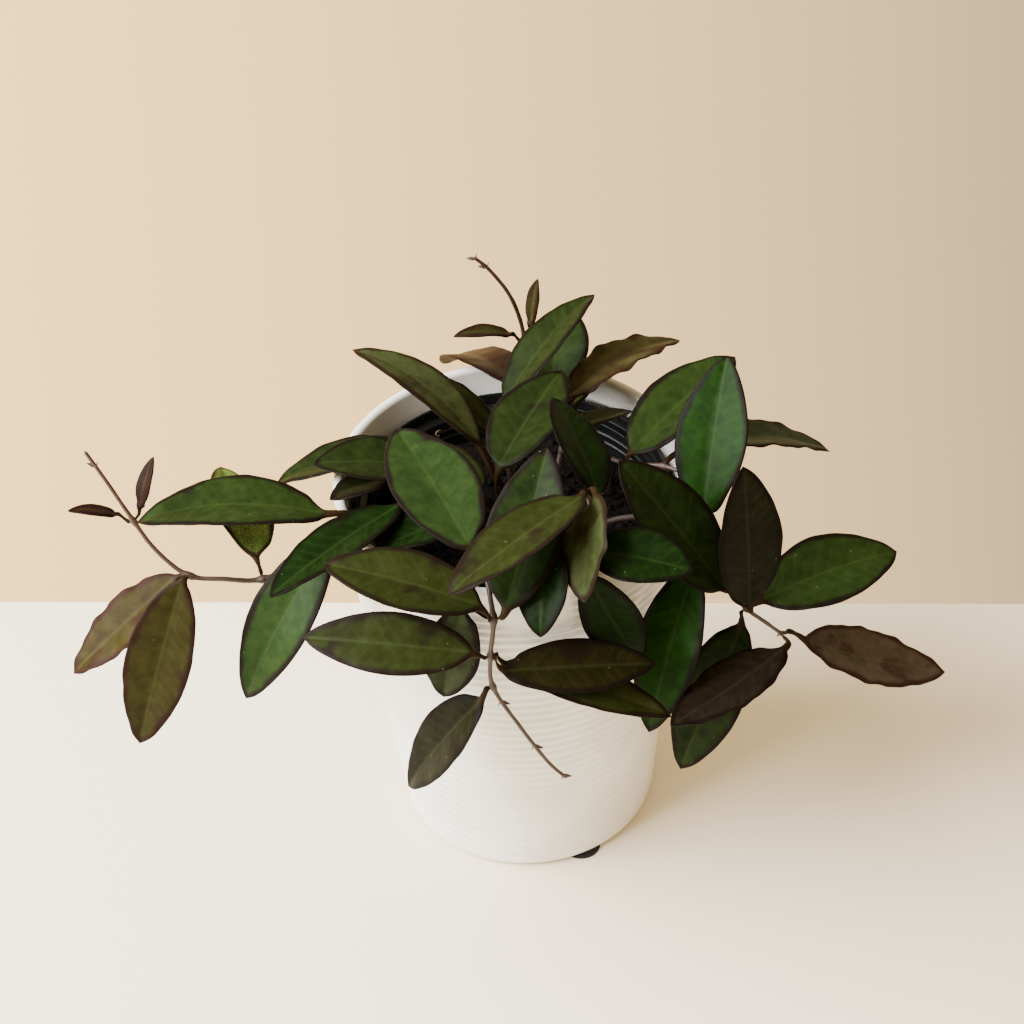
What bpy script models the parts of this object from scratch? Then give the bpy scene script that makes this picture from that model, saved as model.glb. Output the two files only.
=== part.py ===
"""A trailing hoya in its black nursery pot, standing in a tall white ceramic cachepot.

Metres, +Z up. The pot's axis is the Z axis and the table is the plane z = 0.
The plant trails to the left (-X), to the right (+X) and over the front rim (-Y).
Run it with: blender --background --python part.py
"""

import math
from collections import namedtuple

import bmesh
import bpy
from mathutils import Vector

MM = 0.001
GAP = 0.3 * MM  # the room left between two pieces that touch

# Foot pads under the cachepot, one of them just showing past the base at the front right.
PAD_RADIUS = 8.0 * MM
PAD_THICKNESS = 0.8 * MM
PAD_CIRCLE_RADIUS = 48.2 * MM
PAD_BEARINGS = (-65.0, 55.0, 175.0)

# Cachepot: a straight cone from its base to a thick rounded rim.
POT_HEIGHT = 175.2 * MM
POT_RIM_RADIUS = 70.0 * MM
POT_BASE_RADIUS = 54.4 * MM
POT_WALL = 4.2 * MM
POT_FLOOR = 5.0 * MM
POT_UNDERSIDE = PAD_THICKNESS + GAP
POT_FOOT_ROUNDING = 1.6 * MM
POT_FLOOR_FILLET = 3.0 * MM
POT_SEGMENTS = 72
RIM_ARC_STEPS = 6

# Nursery pot: thin black plastic with a turned-out lip and drain holes, standing on the floor.
NURSERY_RIM_RADIUS = 62.0 * MM
NURSERY_RIM_HEIGHT = 165.0 * MM
NURSERY_LIP = 2.2 * MM
NURSERY_LIP_DROP = 7.0 * MM
NURSERY_LIP_CHAMFER = 0.8 * MM
NURSERY_FOOT_CHAMFER = 1.5 * MM
NURSERY_BASE_RADIUS = 45.0 * MM
NURSERY_WALL = 1.2 * MM
NURSERY_SEGMENTS = 60
DRAIN_HOLES = 6
DRAIN_RADIUS = 4.5 * MM
DRAIN_CIRCLE_RADIUS = 27.0 * MM

# Soil: fills the nursery pot and domes a little at its middle.
SOIL_EDGE_HEIGHT = 147.0 * MM
SOIL_DOME = 2.5 * MM
SOIL_SEGMENTS = 32
SOIL_RINGS = 5
SOIL_LUMP = 0.5 * MM

# Stems taper from the soil to the tip.
STEM_SIDES = 6
STEM_ROOT_RADIUS = 1.5 * MM
STEM_TIP_RADIUS = 0.8 * MM
STEM_STEPS = 3  # rings along each span between two points of a stem
STEM_END_TAPER = 0.8
STEM_END_LENGTH = 0.5 * MM

# A leaf is one sweep: a round petiole that widens into a thick, keeled blade.
PETIOLE_RADIUS = 1.1 * MM
PETIOLE_STATIONS = (0.1, 0.55)
BLADE_STATIONS = (0.03, 0.12, 0.25, 0.4, 0.56, 0.72, 0.85, 0.94)
BLADE_THICKNESS = 1.9 * MM
BLADE_FOLD = math.radians(10.0)  # how far each half rises from the midrib
FULL_LEAF_LENGTH = 55.0  # a shorter leaf is thinner in proportion

# Points that each stem passes through, in millimetres, from the soil to its tip.
STEMS = {
    "left": (
        (-11, 5, 150.5), (-26, 2, 168), (-42, -16, 174), (-62, -28, 178.5),
        (-80, -36, 167), (-97, -39, 161), (-111, -42, 165), (-124, -42, 168),
        (-135, -38, 178), (-142, -34, 190), (-149, -31, 206), (-155, -30, 221),
    ),
    "front": (
        (-3, -4, 151), (-6, -14, 166), (-10, -36, 178), (-12, -56, 181),
        (-11, -70, 178.5), (-10, -78, 171), (-11, -79, 161), (-12, -78, 152),
        (-12, -79, 137), (-4, -81, 119), (7, -83, 98), (14, -84, 89),
    ),
    "centre": (
        (9, -14, 150.5), (15, -26, 175), (27, -44, 196), (24, -53, 190), (16, -59, 185),
    ),
    "top": (
        (2, 9, 151), (0, 10, 158), (-1, 13, 167), (2, 26, 172), (5, 42, 180),
        (8, 56, 195), (4, 54, 217), (-4, 52, 233), (-10, 50, 241),
    ),
    "back": (
        (16, 6, 150.5), (21, 17, 170), (33, 8, 174), (45, -3, 177), (58, -9, 180),
        (71, -20, 182),
    ),
    "right": (
        (22, -14, 150.5), (40, -30, 173), (58, -44, 182), (70, -51, 171), (78, -54, 157),
        (86, -52, 143), (94, -50, 133), (101, -48, 124),
    ),
}

# node: the stem point it grows from. petiole: from there to the blade's base, in millimetres.
# heading: degrees from +X towards +Y. rise: degrees up. length, width: of the blade, in millimetres.
# arch: degrees that the blade bends down. roll: degrees that its left edge is lifted.
Leaf = namedtuple("Leaf", "node petiole heading rise length width arch roll")

LEAVES = {
    "left": (
        Leaf(3, (-9, -1, 4), 177, -1, 72, 30, 42, 2),
        Leaf(5, (-2, 5, 7), 108, 6, 51, 25, 15, 25),
        Leaf(3, (-7.5, -9.5, 0), -150, -54, 75, 26, 34, -28),
        Leaf(2, (-1, -10, 8.5), -139, -4, 64, 25, 14, 8),
        Leaf(7, (-1, -7, 4), -143, -65, 74, 26, 18, -37),
        Leaf(7, (-5, 4, -4), -158, -34, 56, 22, 8, -14),
        Leaf(9, (-5, 1, 2), -174, 16, 19, 7, 24, 4),
        Leaf(9, (3, 2, 3), 57, 54, 21, 8, 15, -15),
        Leaf(1, (-10, 8, 11), -177, -10, 58, 24, 34, 7),
        Leaf(1, (-5, -5, 12), -176, 11, 46, 29, 20, 3),
        Leaf(2, (-4, 7, 9), -158, -4, 26, 18, 10, 10),
    ),
    "front": (
        Leaf(3, (-5, -4, 9), 114, 9, 65, 33, 12, -1),
        Leaf(5, (-4, -2, 8), 162, 8, 60, 28, 18, -7),
        Leaf(5, (5, -1, 5), 69, 35, 62, 30, -8, -2),
        Leaf(7, (-6, -4, 6), 169, 1, 64, 24, 14, -34),
        Leaf(7, (4, -4, -4.5), 5, -6, 58, 21, 16, 32),
        Leaf(7, (4, 2, -7), -7, -22, 68, 21, 14, 6),
        Leaf(8, (-4, -2, -5), 171, -58, 61, 25, 14, -30),
        Leaf(5, (-11, 7, 0), 174, -78, 49, 22, 10, -80),
        Leaf(1, (1, -1, 23), 58, 13, 52, 29, 14, -4),
        Leaf(1, (-7, 2, 7), 129, 8, 39, 26, 14, 22),
        Leaf(2, (-6, 3, 5), -159, -6, 38, 25, 12, 9),
    ),
    "centre": (
        Leaf(2, (-2, -9, 9), -146, -12, 62, 27, 14, 7),
        Leaf(2, (3, -7, 7), -102, -31, 40, 24, 14, 42),
        Leaf(2, (4, 5, -3), 108, 17, 47, 25, 16, 32),
        Leaf(3, (2, -11, -1), -24, 2, 40, 26, 14, 10),
        Leaf(4, (-4, 0, 6), -102, -44, 36, 22, 12, 20),
        Leaf(4, (9, -9, -5), 8, -69, 53, 22, 12, 92),
    ),
    "top": (
        Leaf(1, (-12, -5, 27), 143, 20, 64, 23, 46, 14),
        Leaf(2, (-5, 3, 12), 135, 11, 52, 23, 20, 25),
        Leaf(3, (-3, 0, 15), 41, 28, 57, 25, 30, -17),
        Leaf(4, (-2, -4, 7), 120, -24, 64, 24, 50, 12),
        Leaf(4, (12, 6, -8), 77, 24, 43, 30, 16, -10),
        Leaf(5, (-4, 0, 3), -171, 9, 25, 9, 40, 1),
        Leaf(5, (3, 2, 5), 40, 77, 22, 8, 12, -7),
    ),
    "back": (
        Leaf(1, (2, 10, 16), 31, 5, 56, 26, 44, -14),
        Leaf(1, (6, 16, 9), 63, 6, 29, 18, 12, -30),
        Leaf(2, (-7, 12, 3), 34, -10, 29, 18, 14, -20),
        Leaf(3, (1, 0, 5), 40, 15, 60, 29, 16, 0),
        Leaf(4, (12, 9, 1), 12, -16, 60, 26, 40, -13),
        Leaf(5, (0, -13, -6), 72, 48, 60, 29, 10, -12),
    ),
    "right": (
        Leaf(4, (-2, -4.5, 3.5), 157, 52, 66, 30.5, 10, -22),
        Leaf(5, (0, -6, 7), 110, 82, 63, 27, 8, 2),
        Leaf(5, (6, 1, 3), 16, 7, 56, 31, 28, 14),
        Leaf(7, (9, 2, -6), 6, -26, 66, 27, -20, 14),
        Leaf(7, (-1, -12, 4), -147, -7, 56, 26, -10, 6),
        Leaf(5, (-1, 1, -9), -150, -66, 71, 27, 12, -30),
        Leaf(3, (-4, 1, -7), -127, -62, 69, 27, 12, 0),
    ),
}

COLOURS = {
    "ceramic": (0.86, 0.86, 0.84),
    "rubber": (0.02, 0.02, 0.02),
    "plastic": (0.015, 0.015, 0.016),
    "soil": (0.03, 0.022, 0.016),
    "stem": (0.16, 0.075, 0.045),
    "leaf": (0.055, 0.11, 0.03),
}


def clear_scene():
    """Removes whatever the file held."""
    for obj in list(bpy.data.objects):
        bpy.data.objects.remove(obj, do_unlink=True)


def material(name, colour, roughness):
    """A plain finish for one piece."""
    made = bpy.data.materials.new(name)
    made.use_nodes = True
    shader = made.node_tree.nodes["Principled BSDF"]
    shader.inputs["Base Color"].default_value = (*colour, 1.0)
    shader.inputs["Roughness"].default_value = roughness
    return made


def add_object(name, bm, colour, roughness, smooth=True):
    """Turns a bmesh into a named object with its own finish."""
    bmesh.ops.recalc_face_normals(bm, faces=bm.faces)
    mesh = bpy.data.meshes.new(name)
    bm.to_mesh(mesh)
    bm.free()
    if smooth:
        mesh.shade_smooth()
        mesh.set_sharp_from_angle(angle=math.radians(40.0))
    mesh.materials.append(material(name, colour, roughness))
    obj = bpy.data.objects.new(name, mesh)
    bpy.context.scene.collection.objects.link(obj)
    return obj


def turned(bm, profile, segments):
    """Spins a closed or axis-to-axis (radius, height) profile once round the Z axis."""
    verts = [bm.verts.new((radius, 0.0, height)) for radius, height in profile]
    edges = [bm.edges.new(pair) for pair in zip(verts, verts[1:])]
    bmesh.ops.spin(
        bm,
        geom=verts + edges,
        cent=(0.0, 0.0, 0.0),
        axis=(0.0, 0.0, 1.0),
        angle=math.tau,
        steps=segments,
        use_merge=True,
    )
    bmesh.ops.remove_doubles(bm, verts=bm.verts, dist=1e-6)


def arc(centre, radius, start, end, steps):
    """Points (radius, height) along an arc, angles in degrees."""
    for step in range(steps + 1):
        angle = math.radians(start + (end - start) * step / steps)
        yield (centre[0] + radius * math.cos(angle), centre[1] + radius * math.sin(angle))


def pot_outer_radius(height):
    """Radius of the cachepot's outer wall at a height."""
    share = (height - POT_UNDERSIDE) / (POT_HEIGHT - POT_UNDERSIDE)
    return POT_BASE_RADIUS + (POT_RIM_RADIUS - POT_BASE_RADIUS) * share


def add_cachepot():
    floor_height = POT_UNDERSIDE + POT_FLOOR
    rim_rounding = POT_WALL / 2
    rim_centre = (POT_RIM_RADIUS - rim_rounding, POT_HEIGHT - rim_rounding)
    foot_centre = (
        POT_BASE_RADIUS - POT_FOOT_ROUNDING,
        POT_UNDERSIDE + POT_FOOT_ROUNDING,
    )
    inner_floor_radius = pot_outer_radius(floor_height) - POT_WALL
    profile = [(0.0, POT_UNDERSIDE)]
    profile += arc(foot_centre, POT_FOOT_ROUNDING, -90.0, 0.0, 3)
    profile += arc(rim_centre, rim_rounding, 0.0, 180.0, RIM_ARC_STEPS)
    profile += [(inner_floor_radius, floor_height + POT_FLOOR_FILLET)]
    profile += [(inner_floor_radius - POT_FLOOR_FILLET, floor_height), (0.0, floor_height)]
    bm = bmesh.new()
    turned(bm, profile, POT_SEGMENTS)
    add_object("cachepot", bm, COLOURS["ceramic"], 0.35)


def add_pads():
    for number, bearing in enumerate(PAD_BEARINGS, 1):
        bm = bmesh.new()
        bmesh.ops.create_cone(
            bm,
            cap_ends=True,
            segments=24,
            radius1=PAD_RADIUS,
            radius2=PAD_RADIUS,
            depth=PAD_THICKNESS,
        )
        angle = math.radians(bearing)
        place = Vector((math.cos(angle), math.sin(angle), 0.0)) * PAD_CIRCLE_RADIUS
        place.z = PAD_THICKNESS / 2
        bmesh.ops.translate(bm, verts=bm.verts, vec=place)
        add_object(f"foot_pad_{number}", bm, COLOURS["rubber"], 0.7)


def nursery_floor():
    """Height of the nursery pot's underside, standing in the cachepot."""
    return POT_UNDERSIDE + POT_FLOOR + GAP


def nursery_outer_radius(height):
    """Radius of the nursery pot's outer wall at a height."""
    top = NURSERY_RIM_RADIUS - NURSERY_LIP
    share = (height - nursery_floor()) / (NURSERY_RIM_HEIGHT - nursery_floor())
    return NURSERY_BASE_RADIUS + (top - NURSERY_BASE_RADIUS) * share


def add_nursery_pot():
    low = nursery_floor()
    under_lip = NURSERY_RIM_HEIGHT - NURSERY_LIP_DROP - NURSERY_FOOT_CHAMFER
    inner_top = nursery_outer_radius(NURSERY_RIM_HEIGHT) - NURSERY_WALL
    inner_low = nursery_outer_radius(low + NURSERY_WALL) - NURSERY_WALL
    profile = [
        (0.0, low),
        (NURSERY_BASE_RADIUS - NURSERY_FOOT_CHAMFER, low),
        (NURSERY_BASE_RADIUS, low + NURSERY_FOOT_CHAMFER),
        (nursery_outer_radius(under_lip), under_lip),
        (NURSERY_RIM_RADIUS, under_lip + NURSERY_FOOT_CHAMFER),
        (NURSERY_RIM_RADIUS, NURSERY_RIM_HEIGHT - NURSERY_LIP_CHAMFER),
        (NURSERY_RIM_RADIUS - NURSERY_LIP_CHAMFER, NURSERY_RIM_HEIGHT),
        (inner_top + NURSERY_LIP_CHAMFER, NURSERY_RIM_HEIGHT),
        (inner_top, NURSERY_RIM_HEIGHT - NURSERY_LIP_CHAMFER),
        (inner_low, low + NURSERY_WALL),
        (0.0, low + NURSERY_WALL),
    ]
    bm = bmesh.new()
    turned(bm, profile, NURSERY_SEGMENTS)
    pot = add_object("nursery_pot", bm, COLOURS["plastic"], 0.4)
    cutter_mesh = bmesh.new()
    for hole in range(DRAIN_HOLES):
        angle = math.tau * hole / DRAIN_HOLES
        made = bmesh.ops.create_cone(
            cutter_mesh,
            cap_ends=True,
            segments=12,
            radius1=DRAIN_RADIUS,
            radius2=DRAIN_RADIUS,
            depth=10 * MM,
        )
        centre = Vector((math.cos(angle), math.sin(angle), 0.0)) * DRAIN_CIRCLE_RADIUS
        centre.z = low
        bmesh.ops.translate(cutter_mesh, verts=made["verts"], vec=centre)
    cutter = add_object("drain_cutter", cutter_mesh, COLOURS["plastic"], 0.5)
    cutter.hide_render = True
    cutter.display_type = "WIRE"
    drains = pot.modifiers.new("drains", "BOOLEAN")
    drains.operation = "DIFFERENCE"
    drains.object = cutter


def soil_height(share, angle):
    """Height of the soil at a share of its radius: a low dome with a few soft lumps."""
    lumps = math.sin(3 * angle + 5 * share) + 0.7 * math.sin(5 * angle - 7 * share)
    return SOIL_EDGE_HEIGHT + SOIL_DOME * (1 - share * share) + SOIL_LUMP * lumps * share


def add_soil():
    low = nursery_floor() + NURSERY_WALL + GAP
    low_radius = nursery_outer_radius(low) - NURSERY_WALL - 2 * GAP
    top_radius = nursery_outer_radius(SOIL_EDGE_HEIGHT) - NURSERY_WALL - 2 * GAP
    bm = bmesh.new()
    profile = [(0.0, low), (low_radius, low)]
    profile += [(top_radius * (1 - ring / SOIL_RINGS), SOIL_EDGE_HEIGHT) for ring in range(SOIL_RINGS)]
    profile += [(0.0, SOIL_EDGE_HEIGHT)]
    turned(bm, profile, SOIL_SEGMENTS)
    for vert in bm.verts:
        if vert.co.z > low + MM:
            share = vert.co.xy.length / top_radius
            vert.co.z = soil_height(share, math.atan2(vert.co.y, vert.co.x))
    add_object("soil", bm, COLOURS["soil"], 0.95)


def closed_edges(bm, loop):
    """The edges that join a loop of vertices."""
    return [bm.edges.get(pair) for pair in zip(loop, loop[1:] + loop[:1])]


def sweep(bm, start, rings, end):
    """Skins a closed tube: a point, rings with the same number of corners, and a point again."""
    corners = len(rings[0])
    made = bmesh.ops.create_circle(bm, cap_ends=True, cap_tris=True, segments=corners, radius=1.0)
    pole = next(v for v in made["verts"] if len(v.link_faces) == corners)
    pole.co = start
    loop = [next(v for v in made["verts"] if v is not pole)]
    while len(loop) < corners:
        nexts = [
            e.other_vert(loop[-1])
            for e in loop[-1].link_edges
            if e.other_vert(loop[-1]) is not pole and e.other_vert(loop[-1]) not in loop
        ]
        loop.append(nexts[0])
    for vert, place in zip(loop, rings[0]):
        vert.co = place
    for ring in rings[1:]:
        grown = bmesh.ops.extrude_edge_only(bm, edges=closed_edges(bm, loop))
        new = {v for v in grown["geom"] if isinstance(v, bmesh.types.BMVert)}
        loop = [next(e.other_vert(v) for e in v.link_edges if e.other_vert(v) in new) for v in loop]
        for vert, place in zip(loop, ring):
            vert.co = place
    cap = bmesh.ops.contextual_create(bm, geom=closed_edges(bm, loop))
    poked = bmesh.ops.poke(bm, faces=cap["faces"])
    poked["verts"][0].co = end


def smooth_point(points, place):
    """A point on the smooth curve through the points; place counts points, so 2.5 lies between two."""
    index = min(int(place), len(points) - 2)
    share = place - index
    before = points[max(index - 1, 0)]
    here = points[index]
    after = points[index + 1]
    beyond = points[min(index + 2, len(points) - 1)]
    slope_here = (after - before) / 2
    slope_after = (beyond - here) / 2
    return (
        here * (2 * share**3 - 3 * share**2 + 1)
        + slope_here * (share**3 - 2 * share**2 + share)
        + after * (3 * share**2 - 2 * share**3)
        + slope_after * (share**3 - share**2)
    )


def stem_radius(points, place):
    share = place / (len(points) - 1)
    return STEM_ROOT_RADIUS + (STEM_TIP_RADIUS - STEM_ROOT_RADIUS) * share


def add_stem(name, points):
    """A tapering round stem along the smooth curve through its points."""
    steps = (len(points) - 1) * STEM_STEPS
    places = [step / STEM_STEPS for step in range(steps + 1)]
    centres = [smooth_point(points, place) for place in places]
    side = Vector((1.0, 0.0, 0.0))
    rings = []
    for index, centre in enumerate(centres):
        along = (centres[min(index + 1, steps)] - centres[max(index - 1, 0)]).normalized()
        side = (side - along * side.dot(along)).normalized()
        other = along.cross(side)
        radius = stem_radius(points, places[index])
        if index in (0, steps):
            radius *= STEM_END_TAPER
        ring = []
        for corner in range(STEM_SIDES):
            angle = math.tau * corner / STEM_SIDES
            ring.append(centre + (side * math.cos(angle) + other * math.sin(angle)) * radius)
        rings.append(ring)
    start = centres[0] + (centres[0] - centres[1]).normalized() * STEM_END_LENGTH
    end = centres[-1] + (centres[-1] - centres[-2]).normalized() * STEM_END_LENGTH
    bm = bmesh.new()
    sweep(bm, start, rings, end)
    add_object(f"stem_{name}", bm, COLOURS["stem"], 0.6)


def outline(share):
    """Half width of a blade along its length, as a share of the widest: an ellipse with drawn-out ends."""
    return math.sin(math.pi * share**0.92) ** 0.82


def round_section(radius):
    """The petiole's six corners as (sideways, upwards): left, three over the top, right, bottom."""
    corners = ((-1, 0), (-0.6, 0.8), (0, 1), (0.6, 0.8), (1, 0), (0, -1))
    return [(sideways * radius, upwards * radius) for sideways, upwards in corners]


def blade_section(half_width, thickness):
    """The blade's six corners: two edges, a grooved upper face and a keel below the midrib."""
    across = half_width * math.cos(BLADE_FOLD)
    lifted = half_width * math.sin(BLADE_FOLD)
    half = (0.5 * across, 0.5 * lifted + 0.45 * thickness)
    return [
        (-across, lifted),
        (-half[0], half[1]),
        (0.0, 0.25 * thickness),
        half,
        (across, lifted),
        (0.0, -0.75 * thickness),
    ]


def leaf_axes(leaf):
    """The blade's direction, its right-hand side and its upward normal."""
    heading = math.radians(leaf.heading)
    rise = math.radians(leaf.rise)
    roll = math.radians(leaf.roll)
    along = Vector(
        (math.cos(heading) * math.cos(rise), math.sin(heading) * math.cos(rise), math.sin(rise))
    )
    level_left = Vector((-math.sin(heading), math.cos(heading), 0.0))
    level_up = along.cross(level_left)
    left = level_left * math.cos(roll) + level_up * math.sin(roll)
    return along, -left, along.cross(left)


def add_leaf(name, leaf, stem_points):
    """Petiole and blade in one closed sweep, clear of its stem by a small gap."""
    along, right, up = leaf_axes(leaf)
    node = stem_points[leaf.node]
    base = node + Vector(leaf.petiole) * MM
    length = leaf.length * MM
    sagitta = length / 2 * math.tan(math.radians(leaf.arch) / 4)
    scale = min(1.0, leaf.length / FULL_LEAF_LENGTH)
    petiole_radius = PETIOLE_RADIUS * (0.5 + 0.5 * scale)

    def blade_centre(share):
        return base + along * (length * share) + up * (4 * sagitta * share * (1 - share))

    beyond = stem_points[min(leaf.node + 1, len(stem_points) - 1)]
    stem_way = (beyond - stem_points[leaf.node - 1]).normalized()
    launch = (base - node - stem_way * (base - node).dot(stem_way)).normalized()
    start = node + launch * (stem_radius(stem_points, leaf.node) + 2 * GAP)
    arrival = (blade_centre(0.05) - blade_centre(0.0)).normalized()
    reach = (base - start).length / 3

    def petiole_centre(share):
        rest = 1 - share
        return (
            start * rest**3
            + (start + launch * reach) * (3 * rest**2 * share)
            + (base - arrival * reach) * (3 * rest * share**2)
            + base * share**3
        )

    centres = [petiole_centre(share) for share in PETIOLE_STATIONS]
    centres += [blade_centre(share) for share in BLADE_STATIONS]
    tip = blade_centre(1.0)
    sections = [round_section(petiole_radius * 0.9), round_section(petiole_radius)]
    for share in BLADE_STATIONS:
        thickness = BLADE_THICKNESS * (0.45 + 0.55 * scale) * (1 - 0.45 * share)
        half_width = max(leaf.width / 2 * MM * outline(share), petiole_radius)
        sections.append(blade_section(half_width, thickness))
    rings = []
    path = [start] + centres + [tip]
    for index, section in enumerate(sections):
        forward = (path[index + 2] - path[index]).normalized()
        sideways = (right - forward * right.dot(forward)).normalized()
        upwards = sideways.cross(forward)
        rings.append([centres[index] + sideways * x + upwards * z for x, z in section])
    bm = bmesh.new()
    sweep(bm, start, rings, tip)
    add_object(name, bm, COLOURS["leaf"], 0.4)


def main():
    clear_scene()
    add_pads()
    add_cachepot()
    add_nursery_pot()
    add_soil()
    for name, points in STEMS.items():
        stem_points = [Vector(point) * MM for point in points]
        add_stem(name, stem_points)
        for number, leaf in enumerate(LEAVES[name], 1):
            add_leaf(f"leaf_{name}_{number}", leaf, stem_points)


main()
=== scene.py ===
import math
import random
from collections import namedtuple

import bmesh
import bpy
from bpy.props import FloatProperty, FloatVectorProperty, PointerProperty
from mathutils import Matrix, Vector, noise


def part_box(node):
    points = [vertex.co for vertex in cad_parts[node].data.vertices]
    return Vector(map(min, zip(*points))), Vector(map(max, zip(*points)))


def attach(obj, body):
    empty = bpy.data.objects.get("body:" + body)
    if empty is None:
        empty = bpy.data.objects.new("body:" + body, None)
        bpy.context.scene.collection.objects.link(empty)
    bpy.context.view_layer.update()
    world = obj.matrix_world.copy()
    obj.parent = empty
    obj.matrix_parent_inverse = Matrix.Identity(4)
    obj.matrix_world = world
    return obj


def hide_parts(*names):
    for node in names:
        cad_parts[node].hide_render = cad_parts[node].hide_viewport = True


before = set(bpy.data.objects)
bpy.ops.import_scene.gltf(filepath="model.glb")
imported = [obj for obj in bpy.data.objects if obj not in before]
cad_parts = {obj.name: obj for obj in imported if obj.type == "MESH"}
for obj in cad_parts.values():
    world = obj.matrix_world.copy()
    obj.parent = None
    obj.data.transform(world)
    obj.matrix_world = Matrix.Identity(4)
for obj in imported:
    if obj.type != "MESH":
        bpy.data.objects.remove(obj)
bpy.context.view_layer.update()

bl_info = {
    "name": "Potted Hoya",
    "version": (1, 0, 0),
    "blender": (4, 5, 0),
    "location": "3D View > Sidebar > Hoya",
    "description": "A trailing hoya in its nursery pot and ringed cachepot, built round a packed frame",
    "category": "Add Mesh",
}

MM = 0.001
SEAM = 2e-6  # vertices nearer than this are one vertex

# Rows and columns of the fine meshes.
POT_TURN = 128
NURSERY_TURN = 96
LEAF_TURN = 32
LEAF_ROWS = 72
STEM_TURN = 14
BRACT_TURN = 8
BRACT_ROWS = 10

# Cachepot.
POT_WALL = 4.2 * MM
POT_FLOOR = 5.0 * MM
POT_FOOT_ROUNDING = 3.0 * MM
POT_FLOOR_FILLET = 4.0 * MM
POT_SMOOTH_FOOT = 11.0 * MM  # the height below which the wall has no turned rings
POT_SMOOTH_RIM = 5.5 * MM
FOOT_LINE_HEIGHT = 6.0 * MM
FOOT_LINE_DEPTH = 0.35 * MM
FOOT_LINE_WIDTH = 0.7 * MM
POT_ROW = 0.55 * MM
POT_BASE_RADIUS = 54.4 * MM

# Nursery pot.
NURSERY_WALL = 1.2 * MM
NURSERY_LIP = 2.2 * MM
NURSERY_LIP_DROP = 7.0 * MM
NURSERY_BASE_RADIUS = 45.0 * MM
DRAIN_HOLES = 6
DRAIN_RADIUS = 4.5 * MM
DRAIN_CIRCLE_RADIUS = 27.0 * MM
NURSERY_LEDGE = 5.4 * MM  # how far below the rim the lip's inner ledge lies
NURSERY_RIDGES = ((10.5 * MM, 0.7 * MM), (14.0 * MM, 0.6 * MM))  # their drops below the rim, and widths
NURSERY_RIDGE_DEPTH = 0.5 * MM

# Soil.
SOIL_TURN = 96
SOIL_ROWS = 46
SOIL_SINK = 3.0 * MM  # how far the soil's edge lies below its highest crumb
SOIL_DOME = 2.2 * MM
SOIL_GRAINS = 900
SOIL_GRAIN_SIZE = 2.1 * MM

# The dry curl's bearing from the pot's axis, its distance from it, and its drop below the rim.
TENDRIL_BEARING = math.atan2(49.0, -29.9)
TENDRIL_REACH = 56.0 * MM
TENDRIL_DROP = 8.8 * MM
TENDRIL_HOOK = 1.35 * MM

# Leaves and stems.
PETIOLE_RINGS = 2
STEM_SLIMNESS = 0.85  # the stems are this share of the coarse stems' width
KNOB_WIDTH = 1.7 * MM  # of a stem's swelling where a leaf grows
KNOB_SWELL = 0.75
STEM_TIP_ROUNDING = 1.2 * MM
BRACT_LENGTH = 3.4 * MM
BRACT_HALF_WIDTH = 0.8783 * MM
STALK_RADIUS = 1.2 * MM
BLADE_THICK = 1.5 * MM
BLADE_RISE = 7.0 * MM  # over which a round petiole turns into a blade, and a blade thins to its tip
KEEL = 0.55 * MM
GROOVE = 0.4 * MM
MIDRIB_WIDTH = 1.0 * MM
MARGIN_BLUNTNESS = 5
FOLD_SOFTNESS = 0.02
LONG_WAVE = 15.0 * MM
SHORT_WAVE = 8.3 * MM
UNEVENNESS = 0.3 * MM
UNEVEN_PATCH = 9.0 * MM
ROUNDER_BASE = 0.75  # how much fuller a blade's base is than the coarse leaf's
ROUNDER_TIP = 0.4  # the same for its tip
ROUNDER_REACH = 0.1  # share of the blade over which that dies away
PETIOLE_REACH = 1.2 * MM  # how far a petiole goes on into its stem
STEM_REACH = 3.0 * MM  # how far a stem goes on into the soil
LEAF_FACTS = ("across", "along", "inward", "upper", "stalk")

# The stage's floor, in metres: its far edge runs close behind the pot, a little askew.
FLOOR_REACH = 2.6
FLOOR_EDGE = 0.1073
FLOOR_EDGE_SLOPE = 0.0875
FLOOR_THICKNESS = 0.03

# Which leaf finish each leaf wears, stem by stem in the order of the leaves' numbers.
LEAF_WEAR = {
    "left": "green pale_olive blue deep olive_bronze straw wine wine ivy ivy night",
    "front": "blue olive moss olive dusk pale night slate ivy pale deep",
    "centre": "olive khaki deep deep deep deep",
    "top": "khaki olive ivy wine green olive_bronze olive_bronze",
    "back": "bronze pale_olive pale green slate vivid",
    "right": "moss night green plum umber moss vivid",
}

# Height of the waves along a leaf's margin, in millimetres, where they are more than the usual.
WAVES = {
    "leaf_back_1": 0.7,
    "leaf_back_5": 0.5,
    "leaf_centre_2": 0.6,
    "leaf_left_5": 0.3,
    "leaf_left_6": 0.6,
    "leaf_right_4": 0.5,
    "leaf_right_5": 0.4,
}
USUAL_WAVE = 0.12

# Shares of a stem's length at which a pair of small bracts grows.
BRACTS = {
    "left": (0.47, 0.96),
    "front": (0.74, 0.88, 0.985),
    "top": (0.93, 0.985),
    "right": (0.6, 0.98),
    "centre": (0.97,),
    "back": (0.97,),
}

FINISH_PARTS = {"body": "main colour", "light": "lighter mottling", "edge": "margin"}
LeafFinish = namedtuple("LeafFinish", (*FINISH_PARTS, "blotches"))

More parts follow.
